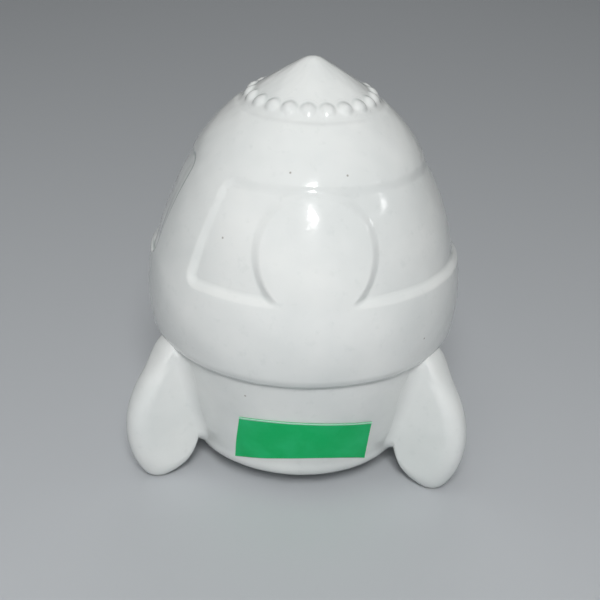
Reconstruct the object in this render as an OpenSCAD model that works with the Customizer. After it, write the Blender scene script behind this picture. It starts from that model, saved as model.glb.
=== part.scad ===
// White glazed ceramic rocket money bank, standing on three fins.
// The pot is built up as a stack of cast rings that share one wall: bowl, belt, window bay, shoulder and
// nose. The straps, portholes, rivets and fins are separate pieces stuck on with slip before firing, and a
// rubber stopper closes the base.
// Units are millimetres. Z = 0 is the surface that the fins stand on, Z is the rocket's own axis, and the
// front is -Y. Azimuths are in degrees, counted from the front towards +X.

/* [Stance] */
// Height of the base above the surface that the fins stand on
base_clear = 4.8; // [4:0.2:10]

/* [Lower hull] */
// Height of the bowl, from the base to the belt
bowl_h = 31.8; // [25:0.1:42]
// Radius of the bowl just above its rounded bottom edge
base_r = 28.8; // [25:0.1:33]
// Radius of the bowl half way up
bowl_mid_r = 32.4; // [30:0.1:38]
// Radius of the bowl where it meets the belt
bowl_top_r = 35.4; // [33:0.1:42]
// Radius of the rounded bottom edge
base_round = 5; // [1.5:0.1:6]
// Thickness of the cast wall
wall = 3.4; // [2.4:0.1:5]
// Thickness of the floor of the bowl
floor_t = 5; // [4:0.1:8]

/* [Belt] */
// Height of the belt
belt_h = 19.8; // [14:0.1:28]
// Radius of the belt at its lower edge
belt_low_r = 37.3; // [36:0.1:44]
// Radius of the belt half way up
belt_mid_r = 38.7; // [36:0.1:46]
// Radius of the belt at its upper edge
belt_top_r = 38; // [36:0.1:46]

/* [Window bay] */
// Height of the bay, from the belt to the shoulder
bay_h = 24.6; // [20:0.1:34]
// Width of the ledge on top of the belt
ledge = 1.4; // [0.6:0.1:3]
// Radius of the bay half way up
bay_mid_r = 33.4; // [30:0.1:40]
// Radius of the bay where it meets the shoulder
bay_top_r = 27; // [24:0.1:33]
// How far the straps stand out of the bay half way up
strap_proud = 1.1; // [0.4:0.1:2]
// Width of a strap, in degrees around the axis
strap_deg = 28.5; // [10:0.5:50]
// Azimuth of the left strap. The right strap is opposite.
strap_az = -58; // [-75:0.5:-45]

/* [Portholes] */
// Radius of a porthole disc
port_r = 13.4; // [6:0.1:14.5]
// Height of a porthole's centre above the belt
port_up = 10.8; // [6:0.1:18]
// How far a porthole stands out of the bay
port_proud = 1.2; // [0.4:0.1:2.5]
// Azimuth of the front porthole. The rear porthole is opposite.
port_az = 4.5; // [0:0.5:20]

/* [Shoulder] */
// Height of the shoulder, from the bay to the nose
shoulder_h = 11.7; // [9.8:0.1:16]
// How far the shoulder's lower edge stands out of the bay
lip = 0.7; // [0.2:0.1:2]
// Radius of the shoulder half way up
shoulder_mid_r = 23.8; // [20:0.1:29]
// Radius of the shoulder where it meets the nose
shoulder_top_r = 17.9; // [16:0.1:20]

/* [Nose] */
// Height of the nose
nose_h = 10.9; // [9:0.1:16]
// Radius of the nose at its foot
nose_low_r = 17.3; // [14:0.1:17.8]
// How far the nose's side bows out between its foot and its tip
nose_bow = 0.9; // [0:0.1:1.6]
// Radius of the rounded tip
tip_r = 5; // [2:0.1:7]
// Slope of the nose where the rounded tip begins, in degrees
tip_slope = 37; // [25:1:50]
// Number of rivets in the ring around the nose
rivets = 21; // [8:1:24]
// Radius of a rivet
rivet_r = 1.8; // [0.8:0.1:2]
// Height of the rivets above the foot of the nose
rivet_up = 2.4; // [2.1:0.1:4]
// Azimuth of the first rivet
rivet_az = -2.4; // [-9:0.1:9]

/* [Fins] */
// Thickness of a fin
fin_t = 8.8; // [5:0.1:12]
// How far a fin reaches out past the lower edge of the belt
fin_reach = 10.9; // [7:0.1:16]
// Radius of the long curve of a fin's outer edge
fin_curve = 23.3; // [18:0.1:28]
// Radius of the fin's outline at its foot
foot_r = 6.5; // [5:0.1:8]
// How far the foot lies below the middle of that curve, in degrees
foot_lean = 36; // [28:1:42]
// Depth ground flat under each fin's foot
foot_grind = 0.3; // [0.1:0.1:1]

/* [Coin slot] */
// Length of the coin slot
slot_w = 30; // [26:0.5:32]
// Height of the coin slot
slot_h = 4.7; // [4.5:0.1:6]
// Height of the slot's lower edge above the bay
slot_up = 1.7; // [1.5:0.1:3]

/* [Stopper] */
// Radius of the hole in the base
hole_r = 13.5; // [10:0.1:15]
// Radius of the stopper's flange
flange_r = 16.5; // [15.5:0.1:18]
// Thickness of the stopper's flange
flange_t = 2; // [1.2:0.1:3]
// Radial clearance between the plug and its hole
plug_fit = 0.05; // [0.02:0.01:0.1]
// Clearance around and above the flange
flange_gap = 0.2; // [0.1:0.05:0.5]
// How far the plug stands up inside the bowl
plug_over = 0.6; // [0.2:0.1:2]

/* [Price label] */
// Length of the label's top edge
label_w = 31.6; // [15:0.1:36]
// Height of the label
label_h = 12.4; // [8:0.1:15]
// Height of the label's lower edge above the base
label_up = 6.8; // [5:0.1:10]
// Sideways place of the label's middle
label_x = 2.1; // [-4:0.1:4]
// How far the label's cut ends slope
label_slant = 0.9; // [0:0.1:3]
// Thickness of the paper
label_t = 0.15; // [0.1:0.01:0.4]

/* [Hidden] */
$fn = 96;

// Heights of the joints between the cast rings
z_base = base_clear;
z_belt = z_base + bowl_h;
z_bay = z_belt + belt_h;
z_shoulder = z_bay + bay_h;
z_nose = z_shoulder + shoulder_h;

// Radii that follow from the steps between the rings
bay_low_r = belt_top_r - ledge;
shoulder_low_r = bay_top_r + lip;

// The stopper's seat in the base
seat_depth = flange_t + flange_gap;
z_seat = z_base + seat_depth;

// Azimuths of the fins
fin_left_az = -60;
fin_right_az = 60;
fin_rear_az = 180;

far = 80; // longer than any cut needs
steps = 12; // straight pieces in each stretch of outline
skin = 0.01; // lets a cut pass clean through a face

// A bowed line through three points, as straight pieces: a parabola in the (radius, height) plane
function bow(low, mid, top) = [
    for (i = [0:steps]) let(t = i / steps)
        (1 - t) * (1 - 2 * t) * low + 4 * t * (1 - t) * mid + t * (2 * t - 1) * top
];

// The direction of a path at each of its points
function heading(path, i) = let(
    a = path[max(i - 1, 0)],
    b = path[min(i + 1, len(path) - 1)]
) (b - a) / norm(b - a);

// The same path moved sideways, so that the gap measured square to it is t. Heights stay as they were.
function widened(path, t) = [
    for (i = [0:len(path) - 1]) path[i] + [t / heading(path, i)[1], 0]
];

function backwards(path) = [for (i = [len(path) - 1:-1:0]) path[i]];

// Radius of a path at a height
function radius_at(path, z) = lookup(z, [for (p = path) [p[1], p[0]]]);

// Outside lines of the cast rings, from the bottom up
bowl_side = bow(
    [base_r, z_base + base_round],
    [bowl_mid_r, z_base + (base_round + bowl_h) / 2],
    [bowl_top_r, z_belt]
);
bowl_edge = [
    for (i = [0:steps - 1]) let(a = -90 + 90 * i / steps)
        [base_r - base_round + base_round * cos(a), z_base + base_round + base_round * sin(a)]
];
belt_line = bow(
    [belt_low_r, z_belt],
    [belt_mid_r, z_belt + belt_h / 2],
    [belt_top_r, z_bay]
);
bay_line = bow(
    [bay_low_r, z_bay],
    [bay_mid_r, z_bay + bay_h / 2],
    [bay_top_r, z_shoulder]
);
strap_line = bow(
    [belt_top_r, z_bay],
    [bay_mid_r + strap_proud, z_bay + bay_h / 2],
    [shoulder_low_r, z_shoulder]
);
shoulder_line = bow(
    [shoulder_low_r, z_shoulder],
    [shoulder_mid_r, z_shoulder + shoulder_h / 2],
    [shoulder_top_r, z_nose]
);
tip_line = [
    for (i = [0:steps]) let(a = 90 - tip_slope * (1 - i / steps))
        [tip_r * cos(a), z_nose + nose_h - tip_r + tip_r * sin(a)]
];
nose_side = bow(
    [nose_low_r, z_nose],
    ([nose_low_r, z_nose] + tip_line[0]) / 2 + [nose_bow, 0],
    tip_line[0]
);
nose_line = concat([for (i = [0:steps - 1]) nose_side[i]], tip_line);

// A turned ring between a path and a second path inside it
module ring(outside, inside) {
    rotate_extrude() polygon(concat(outside, backwards(inside)));
}

// A solid turned from a path that may stop short of the axis
module turned(path) {
    low = path[0];
    high = path[len(path) - 1];
    rotate_extrude() polygon(concat([[0, low[1]]], path, high[0] > skin ? [[0, high[1]]] : []));
}

// Turns what is drawn along +X so that it points to an azimuth
module at_azimuth(az) {
    rotate([0, 0, az - 90]) children();
}

// The bowl with its round hole and the seat for the stopper
module lower_hull() {
    inside = [for (p = widened(bowl_side, -wall)) if (p[1] > z_base + floor_t) p];
    floor_r = inside[0][0] - base_round / 2;
    color("ghostwhite") difference() {
        rotate_extrude() polygon(concat(
            [[0, z_base]], bowl_edge, bowl_side, backwards(inside), [[floor_r, z_base + floor_t], [0, z_base + floor_t]]
        ));
        translate([0, 0, z_base - 1]) cylinder(r = hole_r, h = floor_t + 2);
        translate([0, 0, z_base - 1]) cylinder(r = flange_r + flange_gap, h = seat_depth + 1);
    }
}

module belt() {
    color("ghostwhite") ring(belt_line, [
        [radius_at(widened(bowl_side, -wall), z_belt), z_belt],
        [radius_at(widened(bay_line, -wall), z_bay), z_bay],
    ]);
}

module window_bay() {
    color("white") ring(bay_line, widened(bay_line, -wall));
}

// A raised strap that runs up the bay, flush with the belt below and the shoulder above
module strap(az) {
    color("ghostwhite") at_azimuth(az - strap_deg / 2)
        rotate_extrude(angle = strap_deg)
            polygon(concat(strap_line, backwards(bay_line)));
}

module strap_left() { strap(strap_az); }
module strap_right() { strap(strap_az + 180); }

// A round window disc that follows the bay's surface. The belt cuts off its lower edge.
module porthole(az) {
    color("white") intersection() {
        ring(widened(bay_line, port_proud), bay_line);
        at_azimuth(az) translate([0, 0, z_bay + port_up]) rotate([0, 90, 0]) cylinder(r = port_r, h = far);
    }
}

module porthole_front() { porthole(port_az); }
module porthole_rear() { porthole(port_az + 180); }

// The shoulder, with the coin slot cut level through its back
module shoulder() {
    color("white") difference() {
        ring(shoulder_line, widened(shoulder_line, -wall));
        translate([-slot_w / 2, 0, z_shoulder + slot_up]) cube([slot_w, far, slot_h]);
    }
}

// The nose is one wall thick, measured straight down
module nose_cone() {
    color("white") difference() {
        turned(nose_line);
        translate([0, 0, -wall]) turned(nose_line);
        translate([0, 0, z_nose - wall - skin]) cylinder(r = nose_low_r - wall, h = wall + 2 * skin);
    }
}

// The rivets are half sunk in the nose
module rivet_ring() {
    ring_r = radius_at(nose_line, z_nose + rivet_up);
    color("white") difference() {
        for (i = [0:rivets - 1]) at_azimuth(rivet_az + i * 360 / rivets)
            translate([ring_r, 0, z_nose + rivet_up]) sphere(r = rivet_r, $fn = 32);
        turned(nose_line);
    }
}

// A round-edged coin of clay that stands in the plane of a fin
module clay_coin(at_r, at_z, r) {
    t = min(fin_t, 2 * r);
    rim = [for (i = [0:8]) let(a = -90 + 22.5 * i) [r - t / 2 + t / 2 * cos(a), t / 2 * sin(a)]];
    translate([at_r, 0, at_z]) rotate([90, 0, 0])
        rotate_extrude($fn = 32) polygon(concat([[0, -t / 2]], rim, [[0, t / 2]]));
}

// A thick leaf with round edges. Its long outer curve runs from the foot up towards the belt's lower edge,
// and its root is cut to fit the bowl.
module fin(az) {
    middle_r = belt_low_r + fin_reach - fin_curve;
    coin_arm = fin_curve - foot_r;
    middle_z = foot_r - foot_grind + coin_arm * sin(foot_lean);
    curve_top = 38; // where the long curve ends, in degrees above its middle
    coins = 5; // coins along the long curve
    top_coin = 3.4; // the coin at the top of the root
    top_out = 1.1; // how far that coin looks out from the belt's lower edge
    top_tuck = 0.2; // and how far it is let into the belt
    heel_coin = 3.9; // the coin at the bottom of the root
    heel_in = 7; // how far that coin reaches in from the belt's lower edge
    heel_drop = 1.6; // and how far below the base
    root_coin = 5; // the coin in the middle of the root
    root_sunk = 2; // how far its middle lies inside the bowl's surface
    root_z = z_base + 2 * root_coin;
    color("ghostwhite") difference() {
        at_azimuth(az) hull() {
            for (i = [0:coins - 1]) let(a = -foot_lean + i * (foot_lean + curve_top) / (coins - 1))
                clay_coin(middle_r + coin_arm * cos(a), middle_z + coin_arm * sin(a), foot_r);
            clay_coin(belt_low_r + top_out - top_coin, z_belt + top_tuck - top_coin, top_coin);
            clay_coin(belt_low_r - heel_in + heel_coin, z_base - heel_drop + heel_coin, heel_coin);
            clay_coin(radius_at(bowl_side, root_z) - root_sunk, root_z, root_coin);
        }
        turned(concat(bowl_edge, bowl_side));
        turned(belt_line);
        translate([-far, -far, -far]) cube([2 * far, 2 * far, far]);
    }
}

module fin_left() { fin(fin_left_az); }
module fin_right() { fin(fin_right_az); }
module fin_rear() { fin(fin_rear_az); }

// The rubber stopper: a flange let into the base, and a plug with a bevelled end
module base_stopper() {
    bevel = 0.8;
    plug_r = hole_r - plug_fit;
    flange_top = z_seat - flange_gap;
    plug_top = z_base + floor_t + plug_over;
    color("dimgray") {
        translate([0, 0, flange_top - flange_t]) cylinder(r = flange_r, h = flange_t);
        translate([0, 0, flange_top - skin]) cylinder(r = plug_r, h = plug_top - bevel - flange_top + skin);
        translate([0, 0, plug_top - bevel]) cylinder(r1 = plug_r, r2 = plug_r - bevel, h = bevel);
    }
}

// A plain paper label, cut by hand, that lies on the bowl
module price_label() {
    low = z_base + label_up;
    color("seagreen") intersection() {
        ring(widened(bowl_side, label_t), bowl_side);
        translate([label_x, 0, 0]) rotate([90, 0, 0]) linear_extrude(height = far) polygon([
            [-label_w / 2 - label_slant, low],
            [label_w / 2 - label_slant, low],
            [label_w / 2, low + label_h],
            [-label_w / 2, low + label_h],
        ]);
    }
}

lower_hull();
belt();
window_bay();
strap_left();
strap_right();
porthole_front();
porthole_rear();
shoulder();
nose_cone();
rivet_ring();
fin_left();
fin_right();
fin_rear();
base_stopper();
price_label();
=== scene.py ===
import math
import bmesh
import bpy
import numpy as np
from mathutils import Matrix, Vector


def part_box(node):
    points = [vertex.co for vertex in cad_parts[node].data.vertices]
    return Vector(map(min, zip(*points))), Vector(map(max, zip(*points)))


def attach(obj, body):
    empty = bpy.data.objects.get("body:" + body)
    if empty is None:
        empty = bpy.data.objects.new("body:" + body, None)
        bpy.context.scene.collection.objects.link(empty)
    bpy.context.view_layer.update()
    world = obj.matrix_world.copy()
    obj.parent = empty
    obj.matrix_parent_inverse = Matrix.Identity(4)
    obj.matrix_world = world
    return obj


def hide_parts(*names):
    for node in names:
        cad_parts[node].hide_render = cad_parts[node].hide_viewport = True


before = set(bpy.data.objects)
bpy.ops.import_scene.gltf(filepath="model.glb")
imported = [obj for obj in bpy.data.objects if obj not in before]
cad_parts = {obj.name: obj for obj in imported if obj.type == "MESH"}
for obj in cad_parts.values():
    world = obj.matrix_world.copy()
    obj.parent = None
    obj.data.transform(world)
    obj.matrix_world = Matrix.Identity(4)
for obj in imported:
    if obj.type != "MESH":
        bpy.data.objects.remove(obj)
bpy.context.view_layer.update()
mm = 0.001


def smooth(x):
    # the S curve 3x^2 - 2x^3, held at 0 and 1 outside its range
    x = np.clip(x, 0.0, 1.0)
    return x * x * (3.0 - 2.0 * x)


def direction(azimuth):
    # azimuths count from the front (-Y) towards +X, in radians
    return np.sin(azimuth), -np.cos(azimuth)


# the body's outline
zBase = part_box("lower_hull")[0].z
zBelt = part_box("belt")[0].z - 0.5 * mm          # the glazed rim sags a little below the cast edge
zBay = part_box("window_bay")[0].z
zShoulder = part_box("shoulder")[0].z
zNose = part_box("nose_cone")[0].z
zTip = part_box("nose_cone")[1].z
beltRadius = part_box("belt")[1].x
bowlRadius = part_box("lower_hull")[1].x
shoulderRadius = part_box("shoulder")[1].x
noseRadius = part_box("nose_cone")[1].x
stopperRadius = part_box("base_stopper")[1].x

outline = {
    "seatGap": 0.2 * mm,          # room around the stopper's flange
    "baseRound": 5.0 * mm,        # radius of the rounded bottom edge
    "baseRadius": 28.8 * mm,
    "bowlMiddle": 32.4 * mm,
    "beltLow": 37.3 * mm,
    "beltRound": 1.6 * mm,        # radius of the belt's lower rim
    "beltTop": 38.0 * mm,
    "strapMiddle": 34.0 * mm,
    "shoulderMiddle": 23.8 * mm,
    "shoulderTop": 17.9 * mm,
    "noseBow": 0.9 * mm,
    "tipRadius": 5.0 * mm,
    "tipSlope": 37.0,
    "soften": 0.50 * mm,          # how far the glaze rounds every corner
    "step": 0.05 * mm,
}


def threePointLine(low, middle, top, count=40):
    # the parabola through three points, with the middle one half way along
    t = np.linspace(0.0, 1.0, count)[:, None]
    low, middle, top = (np.array(point, float) for point in (low, middle, top))
    return (1 - t) * (1 - 2 * t) * low + 4 * t * (1 - t) * middle + t * (2 * t - 1) * top


def arcLine(center, radius, start, end, count=24):
    a = np.radians(np.linspace(start, end, count))
    return np.stack([center[0] + radius * np.cos(a), center[1] + radius * np.sin(a)], 1)


def lengthAlong(points):
    return np.concatenate([[0.0], np.cumsum(np.linalg.norm(np.diff(points, axis=0), axis=1))])


def softLine(points, soften, step, toAxis=False):
    # resamples a line at even steps and blurs it with a bell curve, so that each corner becomes a round.
    # The ends run on straight first; an end on the axis is mirrored, so that it stays there and level.
    points = np.asarray(points, float)
    keep = np.concatenate([[True], np.linalg.norm(np.diff(points, axis=0), axis=1) > 1e-9])
    points = points[keep]
    s = lengthAlong(points)
    count = int(s[-1] / step)
    even = np.linspace(0.0, s[-1], count + 1)
    line = np.stack([np.interp(even, s, points[:, k]) for k in (0, 1)], 1)
    pad = int(4 * soften / step) + 1
    offsets = np.arange(1, pad + 1)[:, None]
    before = line[0] + (line[0] - line[1]) * offsets
    if toAxis:
        after = line[-2:-2 - pad:-1] * np.array([-1.0, 1.0])
    else:
        after = line[-1] + (line[-1] - line[-2]) * offsets
    padded = np.concatenate([before[::-1], line, after])
    kernel = np.exp(-0.5 * (np.arange(-pad, pad + 1) * step / soften) ** 2)
    kernel /= kernel.sum()
    return np.stack([np.convolve(padded[:, k], kernel, "valid") for k in (0, 1)], 1)


def tipStart():
    # where the nose's side meets the round of its tip
    turn = math.radians(90 - outline["tipSlope"])
    r = outline["tipRadius"]
    return np.array([r * math.cos(turn), zTip - r + r * math.sin(turn)])


lipRadius = stopperRadius + outline["seatGap"]
roundTop = zBase + outline["baseRound"]
baseRadius, baseRound = outline["baseRadius"], outline["baseRound"]
beltLow, beltTop, beltRound = outline["beltLow"], outline["beltTop"], outline["beltRound"]
bowlMiddle = (outline["bowlMiddle"], (roundTop + zBelt) / 2)
strapMiddle = (outline["strapMiddle"], (zBay + zShoulder) / 2)
shoulderMiddle = (outline["shoulderMiddle"], (zShoulder + zNose) / 2)
noseFoot = np.array([noseRadius, zNose])
noseMiddle = (noseFoot + tipStart()) / 2 + np.array([outline["noseBow"], 0.0])
rawOutline = np.concatenate([
    [[lipRadius, zBase]],
    arcLine((baseRadius - baseRound, roundTop), baseRound, -90, 0),
    threePointLine((baseRadius, roundTop), bowlMiddle, (bowlRadius, zBelt)),
    arcLine((beltLow - beltRound, zBelt + beltRound), beltRound, -90, -10, 8),
    threePointLine((beltLow, zBelt), (beltRadius, (zBelt + zBay) / 2), (beltTop, zBay))[4:],
    threePointLine((beltTop, zBay), strapMiddle, (shoulderRadius, zShoulder)),
    threePointLine((shoulderRadius, zShoulder), shoulderMiddle, (outline["shoulderTop"], zNose)),
    threePointLine(noseFoot, noseMiddle, tipStart()),
    arcLine((0.0, zTip - outline["tipRadius"]), outline["tipRadius"], 90 - outline["tipSlope"], 90),
])
line = softLine(rawOutline, outline["soften"], outline["step"], toAxis=True)
line[-1] = [0.0, line[-1, 1]]
lineS = lengthAlong(line)
lineTangent = np.gradient(line, lineS, axis=0)
lineTangent /= np.linalg.norm(lineTangent, axis=1)[:, None]
riseFrom = int(np.argmax(line[:, 1] > zBase + 1e-5))


def distanceAt(height):
    # distance along the outline at a height
    return np.interp(height, line[riseFrom:, 1], lineS[riseFrom:])


sBelt, sBay, sShoulder, sNose = (float(distanceAt(z)) for z in (zBelt, zBay, zShoulder, zNose))
sTip = float(lineS[-1])
print("outline", len(line), "points", round(sTip / mm, 1), "mm long")

# the raised and sunk relief
relief = {
    "strapAzimuth": math.radians(-56.7),
    "strapHalf": math.radians(12.5),    # half of a strap's width
    "strapSlant": math.radians(4.5),    # how far a strap turns from the belt up to the shoulder
    "portAzimuth": math.radians(4.5),
    "depthLow": 1.45 * mm,              # depth of a pocket at the belt, half way and at the shoulder
    "depthMiddle": 0.55 * mm,
    "depthTop": 0.50 * mm,
    "corner": 3.8 * mm,
    "edge": 2.8 * mm,                   # width of the slope at a pocket's border
    "farEdge": 0.9 * mm,                # and at the far side of a strap, where it is crisper
    "farStart": 0.05,                   # radians from a strap's middle over which that sets in, and where
    "farReach": 0.55,                   # and over how much it ends
    "farFade": 0.2,
    "topOver": 0.8 * mm,                # how far the pocket's slope runs up over the shoulder's foot
    "farCreaseShade": 0.75,                  # painted shade line in the crisp crease at a strap's far side, where glaze also gathers
    "creaseAt": 0.8 * mm,
    "creaseWidth": 0.35 * mm,
    "discRadius": 13.4 * mm,
    "discUp": 10.8 * mm,
    "discEdge": 2.3 * mm,
    "discDome": 0.12 * mm,
    "wave": 0.06 * mm,                  # unevenness of the cast surface
    # strength, whole waves around the body, rise along the outline and shift of each swell
    "swells": ((1.0, 3, 1.9, 0.6), (0.8, 5, -2.7, 2.1), (0.5, 8, 4.1, 4.0), (0.16, 19, 7.3, 1.0),
               (0.12, 27, -9.7, 5.0)),
}


def wrap(angle, period=2 * math.pi):
    return (angle + period / 2) % period - period / 2


def softDistance(a, b, corner):
    # distance inside the corner of a rounded rectangle, where a and b are the distances from its two sides
    inA, inB = np.maximum(corner - a, 0.0), np.maximum(corner - b, 0.0)
    rounded = corner - np.hypot(inA, inB)
    return np.where((a < corner) & (b < corner), rounded, np.minimum(a, b))


def discOffset(r, z, azimuth):
    # distance from the centre of the nearest porthole, measured square to its own axis
    side = r * np.sin(wrap(azimuth - relief["portAzimuth"], math.pi))
    return np.hypot(side, z - zBay - relief["discUp"])


def pocketPlace(s, azimuth, r, z):
    # distance inside the nearest pocket's border, height share in the bay, and 1 beside a strap's far side
    t = np.clip((z - zBay) / (zShoulder - zBay), 0.0, 1.0)
    middle = relief["strapAzimuth"] + relief["strapSlant"] * (t - 0.5)
    turned = wrap(azimuth - middle, math.pi)
    aside = r * (np.abs(turned) - relief["strapHalf"])
    up = np.minimum(s - sBay, sShoulder + relief["topOver"] - s)
    crisp = smooth(-turned / relief["farStart"]) * smooth((turned + relief["farReach"]) / relief["farFade"])
    return softDistance(aside, up, relief["corner"]), t, crisp


def reliefLift(s, azimuth, r, z):
    # the surface between the straps, the belt and the shoulder sinks by the pocket's depth; a porthole
    # fills its round part of the pocket up again, a little domed
    inside, t, crisp = pocketPlace(s, azimuth, r, z)
    depth = ((1 - t) * (1 - 2 * t) * relief["depthLow"] + 4 * t * (1 - t) * relief["depthMiddle"]
             + t * (2 * t - 1) * relief["depthTop"])
    depth = depth * (1 - 0.5 * crisp * (1 - smooth((inside - 1 * mm) / (4 * mm))))
    pocket = smooth(inside / (relief["edge"] + (relief["farEdge"] - relief["edge"]) * crisp))
    rho = discOffset(r, z, azimuth)
    disc = 1 - smooth((rho - relief["discRadius"] + relief["discEdge"] / 2) / relief["discEdge"])
    dome = relief["discDome"] * (1 - np.clip(rho / relief["discRadius"], 0, 1) ** 2)
    return -depth * pocket * (1 - disc) + dome * disc * pocket


def castWave(s, azimuth):
    # a low swell of a few crossing waves, which dies out towards the tip
    u = s / (10 * mm)
    total = sum(strength * np.sin(waves * azimuth + rise * u + shift)
                for strength, waves, rise, shift in relief["swells"])
    return relief["wave"] * total * smooth((sTip - s) / (9 * mm))


def outlineAt(s):
    # radius and height of the outline at a distance along it
    return np.interp(s, lineS, line[:, 0]), np.interp(s, lineS, line[:, 1])


def surfacePoint(s, azimuth, lift=0.0):
    # the outline at distance s, moved square to itself by the relief and by lift, and turned to an azimuth
    s, azimuth, lift = np.broadcast_arrays(s, azimuth, lift)
    r, z = outlineAt(s)
    tr = np.interp(s, lineS, lineTangent[:, 0])
    tz = np.interp(s, lineS, lineTangent[:, 1])
    wave = castWave(s, azimuth) * smooth((s - lineS[riseFrom]) / (6 * mm))
    total = lift + reliefLift(s, azimuth, r, z) + wave
    r = r + tz * total
    z = z - tr * total
    x, y = direction(azimuth)
    return np.stack([r * x, r * y, z], -1)


def surfaceNormal(s, azimuth, reach=0.06 * mm):
    # square to the steps that the surface makes along and around the outline
    s, azimuth = np.broadcast_arrays(s, azimuth)
    turn = reach / np.maximum(outlineAt(s)[0], 0.3 * mm)
    above, below = np.minimum(s + reach, sTip), np.maximum(s - reach, 0)
    along = surfacePoint(above, azimuth) - surfacePoint(below, azimuth)
    around = surfacePoint(s, azimuth + turn) - surfacePoint(s, azimuth - turn)
    normal = np.cross(around, along)
    normal /= np.maximum(np.linalg.norm(normal, axis=-1, keepdims=True), 1e-15)
    normal[s >= sTip - 1e-7] = [0.0, 0.0, 1.0]
    return normal


def glazePaintedLightAndTint(s, azimuth, reach=0.9 * mm):
    # how far the neighbours stand above a point: above 0 in a hollow, where glaze gathers and painted shade
    # goes, below 0 on an edge, where a painted highlight goes. The crisp crease beside a strap gets a narrow
    # line of painted shade of its own.
    s, azimuth = np.broadcast_arrays(s, azimuth)
    r, z = outlineAt(s)
    r = np.maximum(r, 2 * mm)
    turn = reach / r
    above, below = np.minimum(s + reach, sTip), np.maximum(s - reach, 0)
    around = (surfacePoint(above, azimuth) + surfacePoint(below, azimuth)
              + surfacePoint(s, azimuth + turn) + surfacePoint(s, azimuth - turn))
    hollow = ((around / 4 - surfacePoint(s, azimuth)) * surfaceNormal(s, azimuth)).sum(-1) / reach
    inside, _, crisp = pocketPlace(s, azimuth, r, z)
    # a narrow line of painted shade in the crisp crease beside a strap
    creaseShade = np.exp(-((inside - relief["creaseAt"]) / relief["creaseWidth"]) ** 2)
    return hollow + relief["farCreaseShade"] * crisp * creaseShade


# meshes from grids
def gridFaces(rows, columns, closed):
    # quads between neighbouring rows and columns; closed joins the last column to the first
    i, j = np.meshgrid(np.arange(rows - 1), np.arange(columns if closed else columns - 1), indexing="ij")
    low, high = i * columns, (i + 1) * columns
    after = (j + 1) % columns
    return np.stack([low + j, low + after, high + after, high + j], -1).reshape(-1, 4)


def outward(vertices, faces):
    # the faces turned round if their signed volume is below 0
    v = vertices - vertices.mean(0)
    volume = 0.0
    for a, b, c in ((0, 1, 2), (0, 2, 3)):
        volume += np.einsum("ij,ij->i", v[faces[:, a]], np.cross(v[faces[:, b]], v[faces[:, c]])).sum()
    return faces if volume > 0 else faces[:, ::-1]


def makePiece(name, nodes, body, shells, material, sharp=40.0):
    # one object out of closed shells, each with vertices, quads, and normals and a mask of painted light and
    # tint for its glazed side
    vertices, faces, normals, pool, start = [], [], [], [], 0
    for shell in shells:
        count = len(shell["vertices"])
        vertices.append(shell["vertices"])
        faces.append(outward(shell["vertices"], shell["faces"]) + start)
        normals.append(shell.get("normals", np.zeros((count, 3))))
        pool.append(shell.get("pool", np.zeros(count)))
        start += count
    vertices, faces, normals, pool = (np.concatenate(a) for a in (vertices, faces, normals, pool))
    mesh = bpy.data.meshes.new(name)
    mesh.from_pydata(vertices.tolist(), [], [list(dict.fromkeys(face)) for face in faces.tolist()])
    mesh.validate()
    mesh.attributes.new("pool", "FLOAT", "POINT").data.foreach_set("value", pool.astype(np.float32))
    piece = bpy.data.objects.new(name, mesh)
    bpy.context.scene.collection.objects.link(piece)
    mesh.polygons.foreach_set("use_smooth", [True] * len(mesh.polygons))
    mesh.set_sharp_from_angle(angle=math.radians(sharp))
    if np.abs(normals).max() > 0:
        known = np.abs(normals).sum(1) > 0
        loops = np.empty(len(mesh.loops), int)
        mesh.loops.foreach_get("vertex_index", loops)
        sizes = np.empty(len(mesh.polygons), int)
        mesh.polygons.foreach_get("loop_total", sizes)
        owner = np.repeat(np.arange(len(sizes)), sizes)
        counts = np.bincount(owner, weights=known[loops])
        glazed = (counts == sizes)[owner]
        faceNormal = np.empty(len(mesh.polygons) * 3)
        mesh.polygons.foreach_get("normal", faceNormal)
        facing = (faceNormal.reshape(-1, 3)[owner] * normals[loops]).sum(1) > 0.5
        mesh.normals_split_custom_set(np.where((glazed & facing)[:, None], normals[loops], 0.0).tolist())
    mesh.materials.append(material)
    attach(piece, body)
    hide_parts(*nodes)
    print("piece", name, len(mesh.polygons), "faces")
    return piece


def loftShell(rows, normals=None, pool=None):
    # a closed shell from rows of points around a ring, whose first and last rows meet
    count, columns = rows.shape[:2]
    faces = gridFaces(count, columns, True)
    first = np.arange(columns)
    after = (first + 1) % columns
    top = (count - 1) * columns
    closing = np.stack([top + first, top + after, after, first], 1)
    shell = {"vertices": rows.reshape(-1, 3), "faces": np.concatenate([faces, closing])}
    if normals is not None:
        shell["normals"] = normals.reshape(-1, 3)
    if pool is not None:
        shell["pool"] = pool.reshape(-1)
    return shell


def poleShell(rows, normals=None, pool=None):
    # a closed shell from rows of points around a ring, whose first and last rows are single points
    count, columns = rows.shape[:2]
    inner = rows[1:-1].reshape(-1, 3)
    vertices = np.concatenate([inner, rows[:1, 0], rows[-1:, 0]])
    faces = gridFaces(count - 2, columns, True)
    j = np.arange(columns)
    after = (j + 1) % columns
    first, last = np.full(columns, len(inner)), np.full(columns, len(inner) + 1)
    highest = (count - 3) * columns
    bottom = np.stack([first, first, after, j], 1)
    top = np.stack([highest + j, highest + after, last, last], 1)
    shell = {"vertices": vertices, "faces": np.concatenate([bottom, faces, top])}
    if normals is not None:
        shell["normals"] = np.concatenate([normals[1:-1].reshape(-1, 3), normals[:1, 0], normals[-1:, 0]])
    if pool is not None:
        shell["pool"] = np.concatenate([pool[1:-1].reshape(-1), pool[:1, 0], pool[-1:, 0]])
    return shell


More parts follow.
